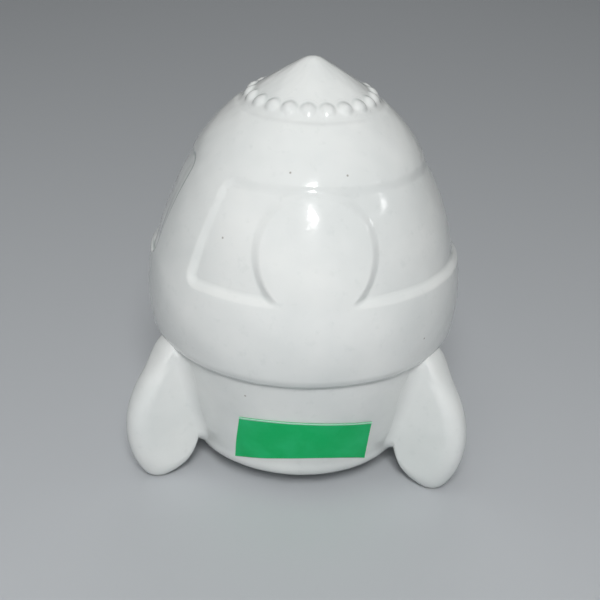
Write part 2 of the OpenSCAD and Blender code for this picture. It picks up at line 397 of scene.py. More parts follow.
def slabShell(outer, inner, normals=None, pool=None):
    # a closed sheet between two matching grids
    rows, columns = outer.shape[:2]
    count = rows * columns
    top = gridFaces(rows, columns, False)
    index = np.arange(count).reshape(rows, columns)
    border = np.concatenate([index[0, :-1], index[:-1, -1], index[-1, :0:-1], index[:0:-1, 0]])
    after = np.roll(border, -1)
    walls = np.stack([border, border + count, after + count, after], 1)
    shell = {"vertices": np.concatenate([outer.reshape(-1, 3), inner.reshape(-1, 3)]),
             "faces": np.concatenate([top, top[:, ::-1] + count, walls])}
    if normals is not None:
        shell["normals"] = np.concatenate([normals.reshape(-1, 3), np.zeros((count, 3))])
    if pool is not None:
        shell["pool"] = np.concatenate([pool.reshape(-1), np.zeros(count)])
    return shell


def turnedRows(profile, azimuths):
    # a profile of (radius, height) points carried round the axis
    x, y = direction(azimuths)
    r, z = profile[:, 0:1], profile[:, 1:2]
    return np.stack([r * x, r * y, np.broadcast_to(z, (len(profile), len(azimuths)))], -1)


# materials
glazeLook = {
    "white": (0.79, 0.805, 0.79),
    "shade": (0.70, 0.725, 0.715),      # where the glaze lies thicker
    "creaseShadeAndMottle": (0.36, 0.42, 0.40),       # painted shade in the creases, where glaze also gathers; also the tint of the fine mottle
    # painted highlight on ridges and edges
    "edge": (0.84, 0.84, 0.82),
    "clay": (0.66, 0.60, 0.52),
    "roughness": 0.10,
    "speck": (0.20, 0.17, 0.13),
    # azimuth in degrees and height in mm of each iron speck
    "specks": ((-8.6, 84.0), (19.2, 83.6), (-33.2, 69.1), (48.0, 45.0), (-21.0, 31.0), (150.0, 62.0),
               (-130.0, 47.0)),
    "speckSize": 0.32 * mm,
}


def newMaterial(name):
    material = bpy.data.materials.new(name)
    material.use_nodes = True
    tree = material.node_tree
    return material, tree, tree.nodes["Principled BSDF"]


def addNode(tree, kind, inputs=None, **settings):
    node = tree.nodes.new(kind)
    for key, value in settings.items():
        setattr(node, key, value)
    for key, value in (inputs or {}).items():
        if isinstance(value, bpy.types.NodeSocket):
            tree.links.new(value, node.inputs[key])
        else:
            node.inputs[key].default_value = value
    return node


def mixColor(tree, factor, a, b):
    node = addNode(tree, "ShaderNodeMix", data_type="RGBA")
    for index, value in ((0, factor), (6, a), (7, b)):
        if isinstance(value, bpy.types.NodeSocket):
            tree.links.new(value, node.inputs[index])
        else:
            node.inputs[index].default_value = value if index == 0 else (*value, 1.0)
    return node.outputs[2]


def ramp(tree, value, low, high, toLow=0.0, toHigh=1.0):
    node = addNode(tree, "ShaderNodeMapRange", {0: value, 1: low, 2: high, 3: toLow, 4: toHigh}, clamp=True)
    return node.outputs[0]


def noise(tree, place, scale, detail, roughness=0.5):
    inputs = {"Vector": place, "Scale": scale, "Detail": detail, "Roughness": roughness}
    return addNode(tree, "ShaderNodeTexNoise", inputs).outputs["Fac"]


def calculate(tree, operation, a, b, clamp=False):
    return addNode(tree, "ShaderNodeMath", {0: a, 1: b}, operation=operation, use_clamp=clamp).outputs[0]


def finishMaterial(tree, shader, color, roughness, height, strength, distance):
    # links a shader's color and roughness, and a bump from a height
    bump = addNode(tree, "ShaderNodeBump", {"Height": height, "Strength": strength, "Distance": distance})
    tree.links.new(color, shader.inputs["Base Color"])
    tree.links.new(roughness, shader.inputs["Roughness"])
    tree.links.new(bump.outputs[0], shader.inputs["Normal"])


def glazeMaterial(name, footHeight=None):
    # glossy white glaze; with a footHeight, the clay is bare below it
    look = glazeLook
    material, tree, shader = newMaterial(name)
    place = addNode(tree, "ShaderNodeTexCoord").outputs["Object"]
    cloud = noise(tree, place, 42.0, 3.0, 0.55)
    fine = noise(tree, place, 420.0, 2.0, 0.6)
    peel = noise(tree, place, 900.0, 1.0)
    swell = noise(tree, place, 95.0, 1.0)
    pool = addNode(tree, "ShaderNodeAttribute", attribute_name="pool").outputs["Fac"]
    color = mixColor(tree, ramp(tree, cloud, 0.35, 0.68), look["white"], look["shade"])
    # painted highlight where the surface forms an edge
    color = mixColor(tree, ramp(tree, pool, -0.02, -0.25, 0.0, 0.15), color, look["edge"])
    # painted shade in hollows and creases, where glaze also gathers
    color = mixColor(tree, ramp(tree, pool, 0.04, 0.50, 0.0, 0.55), color, look["creaseShadeAndMottle"])
    color = mixColor(tree, ramp(tree, fine, 0.60, 0.78, 0.0, 0.10), color, look["creaseShadeAndMottle"])
    for degrees, height in look["specks"]:
        spot = surfacePoint(distanceAt(height * mm), math.radians(degrees))
        far = addNode(tree, "ShaderNodeVectorMath", {0: place, 1: tuple(spot)}, operation="DISTANCE")
        dark = ramp(tree, far.outputs["Value"], look["speckSize"], look["speckSize"] * 0.45, 0.0, 0.65)
        color = mixColor(tree, dark, color, look["speck"])
    roughness = ramp(tree, cloud, 0.3, 0.7, look["roughness"] - 0.02, look["roughness"] + 0.05)
    if footHeight is not None:
        level = addNode(tree, "ShaderNodeSeparateXYZ", {0: place}).outputs[2]
        level = calculate(tree, "ADD", level, ramp(tree, fine, 0.3, 0.7, -0.1 * mm, 0.1 * mm))
        bare = ramp(tree, level, footHeight, footHeight * 0.5)
        color = mixColor(tree, bare, color, look["clay"])
        roughness = calculate(tree, "ADD", roughness, calculate(tree, "MULTIPLY", bare, 0.75), clamp=True)
    height = calculate(tree, "ADD", calculate(tree, "MULTIPLY", swell, 6.0), peel)
    finishMaterial(tree, shader, color, roughness, height, 0.35, 0.06 * mm)
    shader.inputs["IOR"].default_value = 1.5
    shader.inputs["Coat Weight"].default_value = 0.25
    shader.inputs["Coat Roughness"].default_value = 0.04
    return material


paperLook = {
    "green": (0.003, 0.44, 0.125),
    "worn": (0.020, 0.52, 0.185),
    # the pale cut edge, with a painted highlight where the lifted top edge catches light
    "edge": (0.50, 0.86, 0.66),
}


def paperMaterial(name):
    look = paperLook
    material, tree, shader = newMaterial(name)
    place = addNode(tree, "ShaderNodeTexCoord").outputs["Object"]
    fibre = noise(tree, place, 1800.0, 4.0, 0.7)
    patch = noise(tree, place, 130.0, 3.0)
    cut = addNode(tree, "ShaderNodeAttribute", attribute_name="pool").outputs["Fac"]
    color = mixColor(tree, ramp(tree, patch, 0.38, 0.70), look["green"], look["worn"])
    color = mixColor(tree, ramp(tree, fibre, 0.50, 0.75, 0.0, 0.35), color, look["worn"])
    # painted highlight along the lifted top edge, over the paler cut paper
    color = mixColor(tree, ramp(tree, cut, 0.25, 0.9), color, look["edge"])
    finishMaterial(tree, shader, color, ramp(tree, fibre, 0.3, 0.7, 0.50, 0.64), fibre, 0.3, 0.04 * mm)
    shader.inputs["Specular IOR Level"].default_value = 0.25
    return material


rubberLook = {
    "grey": (0.055, 0.055, 0.058),
    "bloom": (0.115, 0.115, 0.118),
}


def rubberMaterial(name):
    look = rubberLook
    material, tree, shader = newMaterial(name)
    place = addNode(tree, "ShaderNodeTexCoord").outputs["Object"]
    dust = noise(tree, place, 260.0, 5.0, 0.65)
    grain = noise(tree, place, 1500.0, 2.0)
    color = mixColor(tree, ramp(tree, dust, 0.42, 0.72), look["grey"], look["bloom"])
    finishMaterial(tree, shader, color, ramp(tree, dust, 0.3, 0.7, 0.55, 0.75), grain, 0.4, 0.05 * mm)
    return material


glaze = glazeMaterial("whiteGlaze")
finGlaze = glazeMaterial("whiteGlazeBareFoot", footHeight=0.35 * mm)
paper = paperMaterial("greenPaper")
rubber = rubberMaterial("stopperRubber")
print("materials made")


def glazedPiece(name, node, *shells, material=glaze, sharp=40.0):
    return makePiece(name, [node], "rocket", shells, material, sharp)


# the cast rings
columns = 840
azimuths = relief["strapAzimuth"] + np.arange(columns) * 2 * math.pi / columns
insideShape = {
    "wall": 3.4 * mm,
    "floor": 5.0 * mm,             # thickness of the hull's floor
    "floorRadius": 23.6 * mm,
    "floorRound": 1.2 * mm,
    "hole": 13.5 * mm,
    "seat": 2.2 * mm,              # depth of the seat for the stopper's flange
    "seatRound": 0.22 * mm,
    # the inside's radius, from the floor up to the nose
    "radii": (22.0, 26.3, 28.6, 31.9, 33.0, 29.8, 23.2, 19.6, 13.4),
}
floorTop = zBase + insideShape["floor"]
insideHeights = (floorTop, zBase + 7.4 * mm, (roundTop + zBelt) / 2, zBelt, zBay, (zBay + zShoulder) / 2,
                 zShoulder, (zShoulder + zNose) / 2, zNose)
insideLine = softLine(np.stack([np.array(insideShape["radii"]) * mm, insideHeights], 1), 1.2 * mm, 0.1 * mm)


def spaced(start, end, step):
    return np.linspace(start, end, max(2, int(round((end - start) / step)) + 1))


def rowDistances(start, *parts):
    # distances along the outline, for parts of (end, step) that follow each other
    rows = []
    for end, step in parts:
        rows.append(spaced(start, end, step)[:-1])
        start = end
    return np.concatenate([*rows, [start]])


def insideRadius(z):
    # the inside of the pot at a height: a smooth line about one wall in from the bowl, belt and bay
    return np.interp(z, insideLine[:, 1], insideLine[:, 0])


def insideFromTo(zTop, zLow, count=8):
    z = np.linspace(zTop, zLow, count)
    return np.stack([insideRadius(z), z], 1)


def makeRing(name, node, sRows, insideRows, hidden=0.0):
    # a ring of the pot: outer rows on the glazed surface, sunk a little where hidden, then the inside
    # rows from the top down
    a, s = azimuths[None, :], sRows[:, None]
    inner = turnedRows(insideRows, azimuths)
    rows = np.concatenate([surfacePoint(s, a, -0.5 * mm * hidden), inner])
    normals = np.concatenate([surfaceNormal(s, a), np.zeros_like(inner)])
    pool = np.concatenate([glazePaintedLightAndTint(s, a), np.zeros(inner.shape[:2])])
    glazedPiece(name, node, loftShell(rows, normals, pool))


seatTop = zBase + insideShape["seat"]
hole, floorRadius = insideShape["hole"], insideShape["floorRadius"]
seatLine = softLine([
    [floorRadius + 1.0 * mm, floorTop + insideShape["floorRound"]], [floorRadius, floorTop], [hole, floorTop],
    [hole, seatTop], [lipRadius, seatTop], [lipRadius, zBase + 0.25 * mm]],
    insideShape["seatRound"], 0.05 * mm)[::12]
hullInside = np.concatenate([insideFromTo(zBelt, floorTop + 1.6 * mm, 12), seatLine])
sFlank = distanceAt(zBase + 6 * mm)
hullRows = rowDistances(0.0, (sFlank, 0.7 * mm), (sBelt - 2 * mm, 0.9 * mm), (sBelt, 0.18 * mm))
makeRing("lowerHull", "lower_hull", hullRows, hullInside)

beltRows = rowDistances(sBelt, (sBelt + 4 * mm, 0.2 * mm), (sBay - 2 * mm, 0.5 * mm), (sBay, 0.25 * mm))
makeRing("belt", "belt", beltRows, insideFromTo(zBay, zBelt))

# the bay is one ring; it dips out of sight under the straps and portholes, which own the surface there
strapColumns = 61                  # grid columns on each side of a strap's middle
bayRows = rowDistances(sBay, (sBay + 3 * mm, 0.16 * mm), (sShoulder - 3 * mm, 0.33 * mm),
                       (sShoulder, 0.2 * mm))
fromStrap = np.abs((np.arange(columns) + columns // 4) % (columns // 2) - columns // 4)
underStrap = np.clip((strapColumns - fromStrap) / 2.0, 0.0, 1.0)[None, :]
bayR, bayZ = outlineAt(bayRows[:, None])
discReach = relief["discRadius"] + relief["discEdge"] / 2
discSide = discReach - discOffset(bayR, bayZ, azimuths[None, :])
discLimit = np.minimum(bayZ - zBay, zShoulder - bayZ)
underDisc = smooth((np.minimum(discSide, discLimit) - 0.3 * mm) / (0.6 * mm))
makeRing("windowBay", "window_bay", bayRows, insideFromTo(zShoulder, zBay), np.maximum(underStrap, underDisc))

strapNodes = {"strapLeft": ("strap_left", 0), "strapRight": ("strap_right", columns // 2)}
for name, (node, center) in strapNodes.items():
    own = azimuths[0] + np.arange(center - strapColumns, center + strapColumns + 1) * 2 * math.pi / columns
    a, s = own[None, :], bayRows[:, None]
    shell = slabShell(surfacePoint(s, a), surfacePoint(s, a, -0.7 * mm), surfaceNormal(s, a), glazePaintedLightAndTint(s, a))
    glazedPiece(name, node, shell)

# a porthole is a round patch of the glazed surface, cut off level by the belt and the shoulder
discNodes = {"portholeFront": ("porthole_front", 0), "portholeRear": ("porthole_rear", 1)}
around = np.linspace(0, 2 * math.pi, 360, endpoint=False)
discZ = zBay + relief["discUp"]
reachUp = (zShoulder - 0.02 * mm - discZ) / np.maximum(np.sin(around), 1e-9)
reachDown = (discZ - zBay - 0.02 * mm) / np.maximum(-np.sin(around), 1e-9)
discRim = np.minimum(discReach, np.minimum(reachUp, reachDown))
topShares = np.concatenate([np.linspace(0, 0.84, 34)[:-1], np.linspace(0.84, 1.0, 26)])
underShares = ((0.998, -0.25), (0.97, -0.7), (0.6, -0.7), (0.0, -0.7))     # share of the rim and lift in mm


def discPlace(center, fraction):
    # a point at a share of the rim's distance, found on the outline by its height and then turned sideways
    rho = fraction * discRim
    s = distanceAt(discZ + rho * np.sin(around))
    return s, center + np.arcsin(np.clip(rho * np.cos(around) / outlineAt(s)[0], -1, 1))


for name, (node, number) in discNodes.items():
    center = relief["portAzimuth"] + number * math.pi
    rows, normals, pool = [], [], []
    for fraction in topShares:
        s, a = discPlace(center, fraction)
        rows.append(surfacePoint(s, a, 0.02 * mm))
        normals.append(surfaceNormal(s, a))
        pool.append(glazePaintedLightAndTint(s, a))
    for fraction, lift in underShares:
        s, a = discPlace(center, fraction)
        rows.append(surfacePoint(s, a, lift * mm))
        normals.append(np.zeros_like(rows[-1]))
        pool.append(np.zeros(len(around)))
    shell = poleShell(np.array(rows), np.array(normals), np.array(pool))
    glazedPiece(name, node, shell)

# the shoulder has the coin slot through its back: a window is left out of its grid, and a frame of loops runs
# from the window to the slot's rounded lip, through the wall and out to the window on the inside
slotShape = {
    "length": 30.0 * mm,
    "tall": 4.7 * mm,
    "up": 1.7 * mm,                # above the shoulder's foot
    "corner": 0.8 * mm,
    "lip": 0.75 * mm,              # radius of the rounded edge
    "margin": 1.25 * mm,           # from the slot to the window
}
slotCorner, slotLip, slotMargin = slotShape["corner"], slotShape["lip"], slotShape["margin"]
slotLow = zShoulder + slotShape["up"]
slotTop = slotLow + slotShape["tall"]
slotHalf = slotShape["length"] / 2
windowX = slotHalf + slotMargin
slotRows = spaced(distanceAt(slotLow - slotMargin), distanceAt(slotTop + slotMargin), 0.36 * mm)
shoulderRows = np.concatenate([spaced(sShoulder, slotRows[0], 0.25 * mm)[:-1], slotRows,
                               spaced(slotRows[-1], sNose, 0.25 * mm)[1:]])
rowFrom = int(np.searchsorted(shoulderRows, slotRows[0] - 1e-9))
rowTo = rowFrom + len(slotRows) - 1
shoulderR, shoulderZ = outlineAt(shoulderRows[:, None])
slotX = np.linspace(windowX, -windowX, 121)[None, :]
slotAzimuth = math.pi - np.arcsin(slotX / shoulderR)
share = np.linspace(0, 1, columns - len(slotX[0]) + 2)[None, 1:-1]
restAzimuth = slotAzimuth[:, -1:] + share * (2 * math.pi + slotAzimuth[:, :1] - slotAzimuth[:, -1:])
a = np.concatenate([slotAzimuth, restAzimuth], 1)
s = np.broadcast_to(shoulderRows[:, None], a.shape)
outer, normals, pool = surfacePoint(s, a), surfaceNormal(s, a), glazePaintedLightAndTint(s, a)
insideZ = np.clip(shoulderZ, zShoulder, zNose)
insideR = insideRadius(insideZ)
x, y = direction(a)
inner = np.stack([insideR * x, insideR * y, np.broadcast_to(insideZ, a.shape)], -1)[::-1]
shell = loftShell(np.concatenate([outer, inner]), np.concatenate([normals, np.zeros_like(inner)]),
                  np.concatenate([pool, np.zeros(a.shape)]))
outerIndex = np.arange(a.size).reshape(a.shape)
innerIndex = (outerIndex + outerIndex.size)[::-1]
columnTo = len(slotX[0]) - 1


def windowLoop(index):
    # once round the window: along its foot, up, back along its top and down
    return np.concatenate([index[rowFrom, :columnTo], index[rowFrom:rowTo, columnTo],
                           index[rowTo, columnTo:0:-1], index[rowTo:rowFrom:-1, 0]])


def windowFaces(index):
    # the quads inside the window, as sorted corner numbers
    i, j = np.meshgrid(np.arange(rowFrom, rowTo), np.arange(columnTo), indexing="ij")
    corners = np.stack([index[i, j], index[i, j + 1], index[i + 1, j + 1], index[i + 1, j]], -1)
    return np.sort(corners.reshape(-1, 4), 1)


gone = set(map(tuple, np.concatenate([windowFaces(outerIndex), windowFaces(innerIndex)]).tolist()))
shell["faces"] = np.array([face for face in shell["faces"].tolist() if tuple(sorted(face)) not in gone])
loopOut, loopIn = windowLoop(outerIndex), windowLoop(innerIndex)
loopS = windowLoop(s)
loopR, loopZ = outlineAt(loopS)
loopX = loopR * np.sin(windowLoop(a))
coreX = np.clip(loopX, slotCorner - slotHalf, slotHalf - slotCorner)
coreZ = np.clip(loopZ, slotLow + slotCorner, slotTop - slotCorner)
awayX, awayZ = loopX - coreX, loopZ - coreZ
away = np.hypot(awayX, awayZ)
awayX, awayZ = awayX / away, awayZ / away


def lipLoop(distance, lift):
    # a loop round the slot at a distance outside its edge, on the glazed surface moved by lift
    s = distanceAt(coreZ + awayZ * (slotCorner + distance))
    azimuth = math.pi - np.arcsin((coreX + awayX * (slotCorner + distance)) / outlineAt(s)[0])
    return surfacePoint(s, azimuth, lift), surfaceNormal(s, azimuth), glazePaintedLightAndTint(s, azimuth)


loops, loopNormals, loopPaintedLightAndTint = [], [], []
for fraction in (0.3, 0.6, 1.0):
    distance = away - slotCorner + fraction * (slotLip - away + slotCorner)
    point, normal, value = lipLoop(distance, 0.0)
    loops.append(point)
    loopNormals.append(normal)
    loopPaintedLightAndTint.append(value)
for psi in np.linspace(0, math.pi / 2, 9)[1:]:
    loops.append(lipLoop(slotLip * (1 - math.sin(psi)), -slotLip * (1 - math.cos(psi)))[0])
edge = loops[-1]
throughY = np.sqrt(insideRadius(edge[:, 2]) ** 2 - edge[:, 0] ** 2)
for fraction in (0.25, 0.5, 0.75, 1.0):
    loops.append(np.stack([edge[:, 0], edge[:, 1] + (throughY - edge[:, 1]) * fraction, edge[:, 2]], 1))
loopCount, loopSize = len(loops), len(loopOut)
plainSize = (loopCount - len(loopNormals)) * loopSize
loopIndex = len(shell["vertices"]) + np.arange(loopCount * loopSize).reshape(loopCount, loopSize)
ladder = np.concatenate([loopOut[None], loopIndex, loopIn[None]])
after = np.roll(ladder, -1, axis=1)
band = np.stack([ladder[:-1], after[:-1], after[1:], ladder[1:]], -1).reshape(-1, 4)
shell["vertices"] = np.concatenate([shell["vertices"], *loops])
shell["normals"] = np.concatenate([shell["normals"], *loopNormals, np.zeros((plainSize, 3))])
shell["pool"] = np.concatenate([shell["pool"], *loopPaintedLightAndTint, np.zeros(plainSize)])


def facesOut(face):
    # above 0 if a face looks away from the axis
    a, b, c = shell["vertices"][face[:3]]
    return np.cross(b - a, c - b) @ (a * [1, 1, 0])


if facesOut(shell["faces"][0]) * facesOut(band[0]) <= 0:
    band = band[:, ::-1]
shell["faces"] = np.concatenate([shell["faces"], band])
glazedPiece("shoulder", "shoulder", shell)

# the nose and its rivets
noseShape = {
    "tipInside": (2.4 * mm, 0.6 * mm),      # radius, and how far below the inside's top
    "sideInside": (8.6 * mm, 4.4 * mm),     # radius, and height above the nose's foot
}
noseTop = zTip - insideShape["wall"]
noseInsideFoot = [insideShape["radii"][-1] * mm, zNose]
tipR, tipDrop = noseShape["tipInside"]
sideR, sideUp = noseShape["sideInside"]
noseInside = softLine([[0.0, noseTop], [tipR, noseTop - tipDrop], [sideR, zNose + sideUp], noseInsideFoot],
                      0.8 * mm, 0.1 * mm)[::8]
noseInside[0, 0] = 0.0
noseInside[-1] = noseInsideFoot
noseRows = rowDistances(sNose, (sNose + 2 * mm, 0.2 * mm), (sTip, 0.4 * mm))
a, s = azimuths[None, :], noseRows[:, None]
inner = turnedRows(noseInside, azimuths)
rows = np.concatenate([inner, surfacePoint(s, a)])
normals = np.concatenate([np.zeros_like(inner), surfaceNormal(s, a)])
pool = np.concatenate([np.zeros(inner.shape[:2]), glazePaintedLightAndTint(s, a)])
glazedPiece("noseCone", "nose_cone", poleShell(rows, normals, pool))

rivetShape = {
    "count": 21,
    "firstAzimuth": math.radians(-2.5),
    "radius": 1.85 * mm,
    "tall": 0.74 * mm,
    "skirt": 2.9 * mm,
    "soften": 0.34 * mm,
    "down": 0.45 * mm,             # how far the rivets have slumped in the glaze
    "creaseShade": 0.22,                # painted shade round the upper side of each, where glaze also gathers
    "creaseFrom": 1.1 * mm,
    "creaseTo": 2.7 * mm,
    "creaseSide": 0.8 * mm,
    "sunk": 0.6 * mm,
}
rivetZ = (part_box("rivet_ring")[0].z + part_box("rivet_ring")[1].z) / 2
rivetRadius, rivetTall, rivetSkirt = rivetShape["radius"], rivetShape["tall"], rivetShape["skirt"]
capRadius = (rivetRadius ** 2 + rivetTall ** 2) / (2 * rivetTall)
capAngle = np.linspace(0.0, math.asin(rivetRadius / capRadius), 20)
dome = np.stack([capRadius * np.sin(capAngle), rivetTall - capRadius + capRadius * np.cos(capAngle)], 1)
dome = np.concatenate([dome, [[rivetSkirt, 0.0]]])
dome = softLine(dome[::-1], rivetShape["soften"], 0.03 * mm, toAxis=True)[::-1]
dome = np.concatenate([dome[::3], [[rivetSkirt + 0.05 * mm, -0.25 * mm],
                                   [rivetSkirt * 0.6, -rivetShape["sunk"]], [0.0, -rivetShape["sunk"]]]])
domeR, domeLift = dome[:, :1], dome[:, 1:2]
creaseShade = (smooth((domeR - rivetShape["creaseFrom"]) / rivetShape["creaseSide"])
          * smooth((rivetShape["creaseTo"] - domeR) / rivetShape["creaseSide"]))
turn = np.linspace(0, 2 * math.pi, 56, endpoint=False)
rivetS = float(distanceAt(rivetZ - rivetShape["down"]))
rivetReach = float(outlineAt(rivetS)[0])
shells = []
for number in range(rivetShape["count"]):
    center = rivetShape["firstAzimuth"] + number * 2 * math.pi / rivetShape["count"]
    rows = surfacePoint(rivetS + domeR * np.sin(turn), center + domeR * np.cos(turn) / rivetReach, domeLift)
    # painted shade on the upper side of each rivet
    upper = smooth((np.sin(turn) + 0.5) / 1.2)[None, :]
    shells.append(poleShell(rows, pool=rivetShape["creaseShade"] * creaseShade * upper))
glazedPiece("rivetRing", "rivet_ring", *shells, sharp=80.0)

# the fins
finShape = {
    "thick": 8.5 * mm,
    "inset": 0.24 * mm,            # how far the fin stays inside its outermost reach
    "rim": 6.4 * mm,               # how deep the rounding of the outer rim runs
    "rimPower": 2.2,               # 2 is an ellipse, and more is squarer
    "facePower": 2.1,
    "curve": 23.3 * mm,            # radius of the long outer curve
    "foot": 5.0 * mm,              # radius of the foot
    "footLean": 34.0,              # where the curve hands over to the foot, in degrees below level
    "footEnd": -100.0,
    "grind": 0.3 * mm,             # what the grinding took off under the foot
    "top": 31.2,                   # where the long curve takes over from the straight top, in degrees
    # radius and height of points on the rim line, above the curve and inside the foot
    "topLine": ((35.4, 40.4), (37.2, 38.2), (39.2, 35.9)),
    "innerLine": ((36.2, 0.6), (33.6, 2.1), (31.6, 4.5), (30.0, 7.6)),
    "rootLow": 3.6 * mm,           # height of the root's lower end above the base
    "rootTop": 4.0 * mm,           # how far the root runs up out of sight behind the belt
    "filletTop": 3.0 * mm,         # radius of the fillet under the belt, at the base and behind the belt
    "filletLow": 1.7 * mm,
    "filletEnd": 0.3 * mm,
}
finCurve, finFoot = finShape["curve"], finShape["foot"]
footLean = math.radians(finShape["footLean"])
footZ = finFoot - finShape["grind"]
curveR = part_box("fin_rear")[1].y - finShape["inset"] - finCurve
curveZ = footZ + (finCurve - finFoot) * math.sin(footLean)
footR = curveR + (finCurve - finFoot) * math.cos(footLean)
rimLine = softLine(np.concatenate([
    np.array(finShape["topLine"]) * mm,
    arcLine((curveR, curveZ), finCurve, finShape["top"], -finShape["footLean"], 60),
    arcLine((footR, footZ), finFoot, -finShape["footLean"], finShape["footEnd"], 40),
    np.array(finShape["innerLine"]) * mm]), 0.7 * mm, 0.05 * mm)
rimS = lengthAlong(rimLine)
# the bowl's own line runs on straight under the belt
underBelt = line[line[:, 1] < zBelt - 1.6 * mm]
underStep = underBelt[-1] - underBelt[-2]
bowlLine = np.concatenate([underBelt, underBelt[-1] + underStep * np.arange(1, 160)[:, None]])
bowlS = lengthAlong(bowlLine)
bowlTangent = np.gradient(bowlLine, bowlS, axis=0)
bowlTangent /= np.linalg.norm(bowlTangent, axis=1)[:, None]
rootLow = float(np.interp(zBase + finShape["rootLow"], bowlLine[riseFrom:, 1], bowlS[riseFrom:]))
rootTop = float(np.interp(zBelt + finShape["rootTop"], bowlLine[riseFrom:, 1], bowlS[riseFrom:]))


def onBowl(s, y, lift):
    # a point beside a fin's middle plane, lifted off the bowl
    r, z = (np.interp(s, bowlS, bowlLine[:, column]) for column in (0, 1))
    tr, tz = (np.interp(s, bowlS, bowlTangent[:, column]) for column in (0, 1))
    base = np.sqrt(np.maximum(r ** 2 - y ** 2, 0))
    return np.stack([base + tz * lift, y, z - tr * lift], 1)


def finRows():
    # each grid line climbs a round fillet off the bowl, crosses the fin's side and rounds over its rim.
    # Lines run from the top of the root (u = 0) to its bottom (u = 1) on one side and back on the other.
    half = finShape["thick"] / 2
    u = (1 - np.cos(np.linspace(0, math.pi, 150))) / 2
    side = np.concatenate([np.ones(len(u)), -np.ones(len(u) - 2)])
    u = np.concatenate([u, u[-2:0:-1]])
    length = rootTop - rootLow
    rootS = rootTop - u * length
    fromEnd = np.minimum(u, 1 - u) * length
    lean = np.clip((half - fromEnd) / half, 0, 1)
    flat = np.sqrt(1 - lean ** 2)
    along = np.where(u < 0.5, 1.0, -1.0) * lean       # the way out of the root's outline, along the bowl
    rimPoint = np.stack([np.interp(u * rimS[-1], rimS, rimLine[:, column]) for column in (0, 1)], 1)
    rootZ = np.interp(rootS, bowlS, bowlLine[:, 1])
    small, low = finShape["filletEnd"], finShape["filletLow"]
    full = low + (finShape["filletTop"] - low) * smooth((rootZ - zBase) / (zBelt - zBase))
    fillet = small + (full - small) * smooth((zBelt + 2.5 * mm - rootZ) / (3.5 * mm))

    def filletRow(spread, lift):
        return onBowl(rootS + along * spread, side * (half * flat + flat * spread), lift)

    rows = [onBowl(rootS, side * 0.0, -1.6 * mm), filletRow(fillet + 0.9 * mm, -0.30 * mm),
            filletRow(fillet + 0.3 * mm, -0.03 * mm)]
    for psi in np.linspace(0.0, math.pi / 2, 22):
        rows.append(filletRow(fillet * (1 - math.sin(psi)), fillet * (1 - math.cos(psi)) - 0.005 * mm))
    start = rows[-1]
    reach = np.hypot(rimPoint[:, 0] - start[:, 0], rimPoint[:, 1] - start[:, 2])
    rimDepth = np.minimum(finShape["rim"], reach)

    def rowAt(distance, thin=1.0):
        # a row at a distance from the fillet towards the rim, with its thickness scaled
        share = distance / np.maximum(reach, 1e-9)
        return np.stack([start[:, 0] + share * (rimPoint[:, 0] - start[:, 0]), start[:, 1] * thin,
                         start[:, 2] + share * (rimPoint[:, 1] - start[:, 2])], 1)

    for fraction in np.linspace(0.0, 1.0, 15)[1:]:
        rows.append(rowAt(fraction * (reach - rimDepth)))
    for turn in np.linspace(0.0, math.pi / 2, 30)[1:]:
        out = math.sin(turn) ** (2 / finShape["rimPower"])
        thin = max(math.cos(turn), 0.0) ** (2 / finShape["facePower"])
        rows.append(rowAt(reach - rimDepth + rimDepth * out, thin))
    rows = np.array(rows)
    rows[..., 2] = np.maximum(rows[..., 2], 0.0)
    return rows


def mergeDoubles(piece, distance=1e-6):
    bm = bmesh.new()
    bm.from_mesh(piece.data)
    bmesh.ops.remove_doubles(bm, verts=bm.verts, dist=distance)
    bmesh.ops.dissolve_degenerate(bm, edges=bm.edges, dist=distance)
    bm.to_mesh(piece.data)
    bm.free()
    piece.data.polygons.foreach_set("use_smooth", [True] * len(piece.data.polygons))


finPlan = finRows()
radial, side, height = finPlan[..., 0], finPlan[..., 1], finPlan[..., 2]
finNodes = {"finLeft": ("fin_left", -60.0), "finRight": ("fin_right", 60.0), "finRear": ("fin_rear", 180.0)}
for name, (node, degrees) in finNodes.items():
    x, y = direction(math.radians(degrees))
    rows = np.stack([radial * x - side * y, radial * y + side * x, height], -1)
    shell = {"vertices": rows.reshape(-1, 3), "faces": gridFaces(*rows.shape[:2], True)}
    mergeDoubles(glazedPiece(name, node, shell, material=finGlaze, sharp=80.0))

# the stopper
stopperShape = {
    "flange": 2.0 * mm,
    "plug": 13.45 * mm,
    "plugTop": 5.6 * mm,
    "plugMiddle": 4.0 * mm,
    "bevel": 0.8 * mm,
    "face": 0.1 * mm,              # how far the underside stands above the base's own
    "groove": 0.35 * mm,
    "grooveRadii": (9.4 * mm, 9.8 * mm, 10.6 * mm, 11.0 * mm),
    "mark": 0.5 * mm,              # height of the moulding mark in the middle, and its radii
    "markRadii": (2.2 * mm, 2.5 * mm),
}
plug, plugTop, bevel = stopperShape["plug"], stopperShape["plugTop"], stopperShape["bevel"]
flange, face, mark = stopperShape["flange"], stopperShape["face"], stopperShape["mark"]
grooveTop = stopperShape["groove"] + face
grooveA, grooveB, grooveC, grooveD = stopperShape["grooveRadii"]
markA, markB = stopperShape["markRadii"]
flangeEdge = stopperRadius - 0.02 * mm
stopperLine = np.array([
    [0.0, mark], [markA, mark], [markB, face], [grooveA, face], [grooveB, grooveTop], [grooveC, grooveTop],
    [grooveD, face], [stopperRadius - 0.05 * mm, face], [flangeEdge, 0.5 * mm], [flangeEdge, flange],
    [plug + 0.3 * mm, flange], [plug, flange + 0.2 * mm], [plug, plugTop - bevel], [plug - bevel, plugTop],
    [stopperShape["plugMiddle"], plugTop], [0.0, plugTop]])
stopperLine = softLine(stopperLine + [0.0, zBase], 0.12 * mm, 0.03 * mm)[::4]
stopperLine[0, 0] = stopperLine[-1, 0] = 0.0
shell = poleShell(turnedRows(stopperLine, np.linspace(0, 2 * math.pi, 160, endpoint=False)))
makePiece("baseStopper", ["base_stopper"], "stopper", [shell], rubber)

